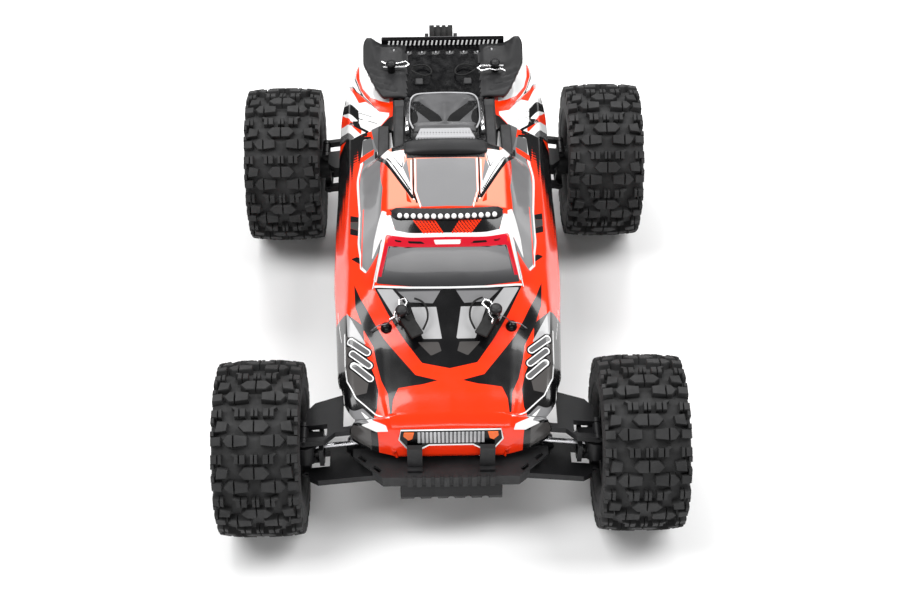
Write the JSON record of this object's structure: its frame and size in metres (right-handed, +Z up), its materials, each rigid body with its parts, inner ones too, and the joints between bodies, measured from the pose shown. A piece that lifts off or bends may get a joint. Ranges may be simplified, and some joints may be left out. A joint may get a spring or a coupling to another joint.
{
  "type": "radio-controlled monster truck",
  "caption": "Four-wheel-drive electric monster truck with a painted body shell, rear wing, lugged tyres, sprung arms and linked steering.",
  "frame": {"origin": "centre of the truck's bounding box in plan, on the floor under the tyres", "axes": "+X to the right of the picture, -Y to the nose of the truck, +Z up"},
  "size_m": [0.354, 0.5343, 0.2005],
  "materials": {
    "tyre_rubber": "matte",
    "wheel_black": "satin",
    "suspension_plastic": "satin",
    "steel": "satin",
    "damper_grey": "satin",
    "spring_red": "gloss",
    "frame_black": "satin",
    "motor_can": "satin",
    "battery_case": "gloss",
    "shell_red": "gloss",
    "wing_black": "satin",
    "cord_black": "matte",
    "roller_rubber": "matte",
    "gear_plastic": "satin"
  },
  "bodies": {
    "truck": {"chassis": "frame_black", "gearbox_cases": "frame_black", "shock_towers": "frame_black", "pins_and_screws": "steel", "front_bumper": "frame_black", "wheelie_bar": "frame_black", "motor": "motor_can", "battery": "battery_case", "speed_control": "motor_can", "steering_servo": "frame_black", "receiver_box": "frame_black", "body_shell": "shell_red", "rear_wing": "wing_black", "body_clips": "steel", "clip_tethers": "cord_black"},
    "steering_rack": {"steering_rack": "suspension_plastic"},
    "servo_horn": {"servo_horn": "suspension_plastic"},
    "wheelie_roller": {"wheelie_roller": "roller_rubber"},
    "spur_gear": {"spur_gear": "gear_plastic"},
    "motor_pinion": {"motor_pinion": "steel"},
    "lower_arm_fr": {"lower_arm_fr": "suspension_plastic"},
    "upper_arm_fr": {"upper_arm_fr": "suspension_plastic"},
    "c_hub_fr": {"c_hub_fr": "suspension_plastic"},
    "wheel_fr": {"tyre_fr": "tyre_rubber", "rim_fr": "wheel_black"},
    "driveshaft_fr": {"driveshaft_fr": "steel"},
    "shock_body_fr": {"shock_body_fr": "damper_grey", "spring_fr": "spring_red"},
    "shock_shaft_fr": {"shock_shaft_fr": "steel"},
    "knuckle_fr": {"knuckle_fr": "suspension_plastic"},
    "lower_arm_fl": {"lower_arm_fl": "suspension_plastic"},
    "upper_arm_fl": {"upper_arm_fl": "suspension_plastic"},
    "c_hub_fl": {"c_hub_fl": "suspension_plastic"},
    "wheel_fl": {"tyre_fl": "tyre_rubber", "rim_fl": "wheel_black"},
    "driveshaft_fl": {"driveshaft_fl": "steel"},
    "shock_body_fl": {"shock_body_fl": "damper_grey", "spring_fl": "spring_red"},
    "shock_shaft_fl": {"shock_shaft_fl": "steel"},
    "knuckle_fl": {"knuckle_fl": "suspension_plastic"},
    "lower_arm_rr": {"lower_arm_rr": "suspension_plastic"},
    "upper_arm_rr": {"upper_arm_rr": "suspension_plastic"},
    "rear_hub_rr": {"rear_hub_rr": "suspension_plastic"},
    "wheel_rr": {"tyre_rr": "tyre_rubber", "rim_rr": "wheel_black"},
    "driveshaft_rr": {"driveshaft_rr": "steel"},
    "shock_body_rr": {"shock_body_rr": "damper_grey", "spring_rr": "spring_red"},
    "shock_shaft_rr": {"shock_shaft_rr": "steel"},
    "lower_arm_rl": {"lower_arm_rl": "suspension_plastic"},
    "upper_arm_rl": {"upper_arm_rl": "suspension_plastic"},
    "rear_hub_rl": {"rear_hub_rl": "suspension_plastic"},
    "wheel_rl": {"tyre_rl": "tyre_rubber", "rim_rl": "wheel_black"},
    "driveshaft_rl": {"driveshaft_rl": "steel"},
    "shock_body_rl": {"shock_body_rl": "damper_grey", "spring_rl": "spring_red"},
    "shock_shaft_rl": {"shock_shaft_rl": "steel"},
    "tie_rod_fr": {"tie_rod_fr": "steel"},
    "tie_rod_fl": {"tie_rod_fl": "steel"}
  },
  "joints": [
    {"name": "suspension_fr", "type": "hinge", "parent": "truck", "child": "lower_arm_fr", "pos_m": [0.027, -0.1999, 0.058], "axis": [0, -1, 0], "range_deg": [-8, 14], "stiffness_Nm_per_rad": 3.2, "springref_deg": -5.17},
    {"name": "upper_arm_fr", "type": "hinge", "parent": "truck", "child": "upper_arm_fr", "pos_m": [0.027, -0.1999, 0.097], "axis": [0, -1, 0], "range_deg": [-8, 14]},
    {"name": "hub_fr", "type": "hinge", "parent": "lower_arm_fr", "child": "c_hub_fr", "pos_m": [0.112, -0.1999, 0.046], "axis": [0, -1, 0], "range_deg": [-14, 8]},
    {"name": "steering_right", "type": "hinge", "parent": "c_hub_fr", "child": "knuckle_fr", "pos_m": [0.112, -0.1999, 0.068], "axis": [0, 0, 1], "range_deg": [-22, 22]},
    {"name": "wheel_spin_fr", "type": "hinge", "parent": "knuckle_fr", "child": "wheel_fr", "pos_m": [0.1445, -0.1999, 0.068], "axis": [1, 0, 0], "continuous": true},
    {"name": "shaft_spin_fr", "type": "hinge", "parent": "upper_arm_fr", "child": "driveshaft_fr", "pos_m": [0.0695, -0.1999, 0.074], "axis": [0.9902, 0, -0.1398], "continuous": true},
    {"name": "shock_tilt_fr", "type": "hinge", "parent": "truck", "child": "shock_body_fr", "pos_m": [0.05, -0.1856, 0.104], "axis": [0, -1, 0], "range_deg": [-4.24, 7.04]},
    {"name": "shock_stroke_fr", "type": "slide", "parent": "shock_body_fr", "child": "shock_shaft_fr", "axis": [0.4614, 0, -0.8872], "range_m": [-0.01075, 0.00632], "deforming": ["spring_fr"]},
    {"name": "suspension_fl", "type": "hinge", "parent": "truck", "child": "lower_arm_fl", "pos_m": [-0.027, -0.1999, 0.058], "axis": [0, 1, 0], "range_deg": [-8, 14], "stiffness_Nm_per_rad": 3.2, "springref_deg": -5.17},
    {"name": "upper_arm_fl", "type": "hinge", "parent": "truck", "child": "upper_arm_fl", "pos_m": [-0.027, -0.1999, 0.097], "axis": [0, 1, 0], "range_deg": [-8, 14]},
    {"name": "hub_fl", "type": "hinge", "parent": "lower_arm_fl", "child": "c_hub_fl", "pos_m": [-0.112, -0.1999, 0.046], "axis": [0, 1, 0], "range_deg": [-14, 8]},
    {"name": "steering", "type": "hinge", "parent": "c_hub_fl", "child": "knuckle_fl", "pos_m": [-0.112, -0.1999, 0.068], "axis": [0, 0, 1], "range_deg": [-22, 22]},
    {"name": "wheel_spin_fl", "type": "hinge", "parent": "knuckle_fl", "child": "wheel_fl", "pos_m": [-0.1445, -0.1999, 0.068], "axis": [1, 0, 0], "continuous": true},
    {"name": "shaft_spin_fl", "type": "hinge", "parent": "upper_arm_fl", "child": "driveshaft_fl", "pos_m": [-0.0695, -0.1999, 0.074], "axis": [0.9902, 0, 0.1398], "continuous": true},
    {"name": "shock_tilt_fl", "type": "hinge", "parent": "truck", "child": "shock_body_fl", "pos_m": [-0.05, -0.1856, 0.104], "axis": [0, 1, 0], "range_deg": [-4.24, 7.04]},
    {"name": "shock_stroke_fl", "type": "slide", "parent": "shock_body_fl", "child": "shock_shaft_fl", "axis": [-0.4614, 0, -0.8872], "range_m": [-0.01075, 0.00632], "deforming": ["spring_fl"]},
    {"name": "suspension_rr", "type": "hinge", "parent": "truck", "child": "lower_arm_rr", "pos_m": [0.027, 0.1087, 0.058], "axis": [0, -1, 0], "range_deg": [-8, 14], "stiffness_Nm_per_rad": 3.2, "springref_deg": -6.07},
    {"name": "upper_arm_rr", "type": "hinge", "parent": "truck", "child": "upper_arm_rr", "pos_m": [0.027, 0.1087, 0.097], "axis": [0, -1, 0], "range_deg": [-8, 14]},
    {"name": "hub_rr", "type": "hinge", "parent": "lower_arm_rr", "child": "rear_hub_rr", "pos_m": [0.104, 0.1087, 0.046], "axis": [0, -1, 0], "range_deg": [-14, 8]},
    {"name": "wheel_spin_rr", "type": "hinge", "parent": "rear_hub_rr", "child": "wheel_rr", "pos_m": [0.1403, 0.1087, 0.068], "axis": [1, 0, 0], "continuous": true},
    {"name": "shaft_spin_rr", "type": "hinge", "parent": "upper_arm_rr", "child": "driveshaft_rr", "pos_m": [0.0655, 0.1087, 0.074], "axis": [0.9881, 0, -0.154], "continuous": true},
    {"name": "shock_tilt_rr", "type": "hinge", "parent": "truck", "child": "shock_body_rr", "pos_m": [0.044, 0.0944, 0.122], "axis": [0, -1, 0], "range_deg": [-2.8, 4.53]},
    {"name": "shock_stroke_rr", "type": "slide", "parent": "shock_body_rr", "child": "shock_shaft_rr", "axis": [0.4087, 0, -0.9127], "range_m": [-0.01079, 0.00634], "deforming": ["spring_rr"]},
    {"name": "suspension_rl", "type": "hinge", "parent": "truck", "child": "lower_arm_rl", "pos_m": [-0.027, 0.1087, 0.058], "axis": [0, 1, 0], "range_deg": [-8, 14], "stiffness_Nm_per_rad": 3.2, "springref_deg": -6.07},
    {"name": "upper_arm_rl", "type": "hinge", "parent": "truck", "child": "upper_arm_rl", "pos_m": [-0.027, 0.1087, 0.097], "axis": [0, 1, 0], "range_deg": [-8, 14]},
    {"name": "hub_rl", "type": "hinge", "parent": "lower_arm_rl", "child": "rear_hub_rl", "pos_m": [-0.104, 0.1087, 0.046], "axis": [0, 1, 0], "range_deg": [-14, 8]},
    {"name": "wheel_spin_rl", "type": "hinge", "parent": "rear_hub_rl", "child": "wheel_rl", "pos_m": [-0.1403, 0.1087, 0.068], "axis": [1, 0, 0], "continuous": true},
    {"name": "shaft_spin_rl", "type": "hinge", "parent": "upper_arm_rl", "child": "driveshaft_rl", "pos_m": [-0.0655, 0.1087, 0.074], "axis": [0.9881, 0, 0.154], "continuous": true},
    {"name": "shock_tilt_rl", "type": "hinge", "parent": "truck", "child": "shock_body_rl", "pos_m": [-0.044, 0.0944, 0.122], "axis": [0, 1, 0], "range_deg": [-2.8, 4.53]},
    {"name": "shock_stroke_rl", "type": "slide", "parent": "shock_body_rl", "child": "shock_shaft_rl", "axis": [-0.4087, 0, -0.9127], "range_m": [-0.01079, 0.00634], "deforming": ["spring_rl"]},
    {"name": "rack_slide", "type": "slide", "parent": "truck", "child": "steering_rack", "axis": [1, 0, 0], "range_m": [-0.008, 0.008]},
    {"name": "servo_horn", "type": "hinge", "parent": "truck", "child": "servo_horn", "pos_m": [-0.018, -0.1536, 0.096], "axis": [0, 1, 0], "range_deg": [-20, 20]},
    {"name": "tie_rod_fr", "type": "hinge", "parent": "steering_rack", "child": "tie_rod_fr", "pos_m": [0.027, -0.1536, 0.058], "axis": [0, -1, 0], "range_deg": [-8, 14]},
    {"name": "tie_rod_fl", "type": "hinge", "parent": "steering_rack", "child": "tie_rod_fl", "pos_m": [-0.027, -0.1536, 0.058], "axis": [0, 1, 0], "range_deg": [-8, 14]},
    {"name": "spur_spin", "type": "hinge", "parent": "truck", "child": "spur_gear", "pos_m": [0, -0.0156, 0.08], "axis": [0, 1, 0], "continuous": true},
    {"name": "pinion_spin", "type": "hinge", "parent": "truck", "child": "motor_pinion", "pos_m": [-0.0315, -0.0156, 0.072], "axis": [0, 1, 0], "continuous": true},
    {"name": "wheelie_roller", "type": "hinge", "parent": "truck", "child": "wheelie_roller", "pos_m": [0, 0.2524, 0.088], "axis": [1, 0, 0], "continuous": true}
  ],
  "couplings": [
    {"joint": "upper_arm_fr", "follows": "suspension_fr", "ratio": 1},
    {"joint": "hub_fr", "follows": "suspension_fr", "ratio": -1},
    {"joint": "steering_right", "follows": "steering", "ratio": 1},
    {"joint": "shaft_spin_fr", "follows": "wheel_spin_fr", "ratio": 1},
    {"joint": "shock_tilt_fr", "follows": "suspension_fr", "ratio": 0.46737},
    {"joint": "shock_stroke_fr", "follows": "suspension_fr", "m_per_rad": -0.042375},
    {"joint": "upper_arm_fl", "follows": "suspension_fl", "ratio": 1},
    {"joint": "hub_fl", "follows": "suspension_fl", "ratio": -1},
    {"joint": "shaft_spin_fl", "follows": "wheel_spin_fl", "ratio": 1},
    {"joint": "shock_tilt_fl", "follows": "suspension_fl", "ratio": 0.46737},
    {"joint": "shock_stroke_fl", "follows": "suspension_fl", "m_per_rad": -0.042375},
    {"joint": "upper_arm_rr", "follows": "suspension_rr", "ratio": 1},
    {"joint": "hub_rr", "follows": "suspension_rr", "ratio": -1},
    {"joint": "shaft_spin_rr", "follows": "wheel_spin_rr", "ratio": 1},
    {"joint": "shock_tilt_rr", "follows": "suspension_rr", "ratio": 0.2875},
    {"joint": "shock_stroke_rr", "follows": "suspension_rr", "m_per_rad": -0.042525},
    {"joint": "upper_arm_rl", "follows": "suspension_rl", "ratio": 1},
    {"joint": "hub_rl", "follows": "suspension_rl", "ratio": -1},
    {"joint": "shaft_spin_rl", "follows": "wheel_spin_rl", "ratio": 1},
    {"joint": "shock_tilt_rl", "follows": "suspension_rl", "ratio": 0.2875},
    {"joint": "shock_stroke_rl", "follows": "suspension_rl", "m_per_rad": -0.042525},
    {"joint": "rack_slide", "follows": "steering", "m_per_rad": -0.0198},
    {"joint": "servo_horn", "follows": "steering", "ratio": 0.837},
    {"joint": "tie_rod_fr", "follows": "suspension_fr", "ratio": 1},
    {"joint": "tie_rod_fl", "follows": "suspension_fl", "ratio": 1},
    {"joint": "pinion_spin", "follows": "spur_spin", "ratio": -3.3333}
  ]
}
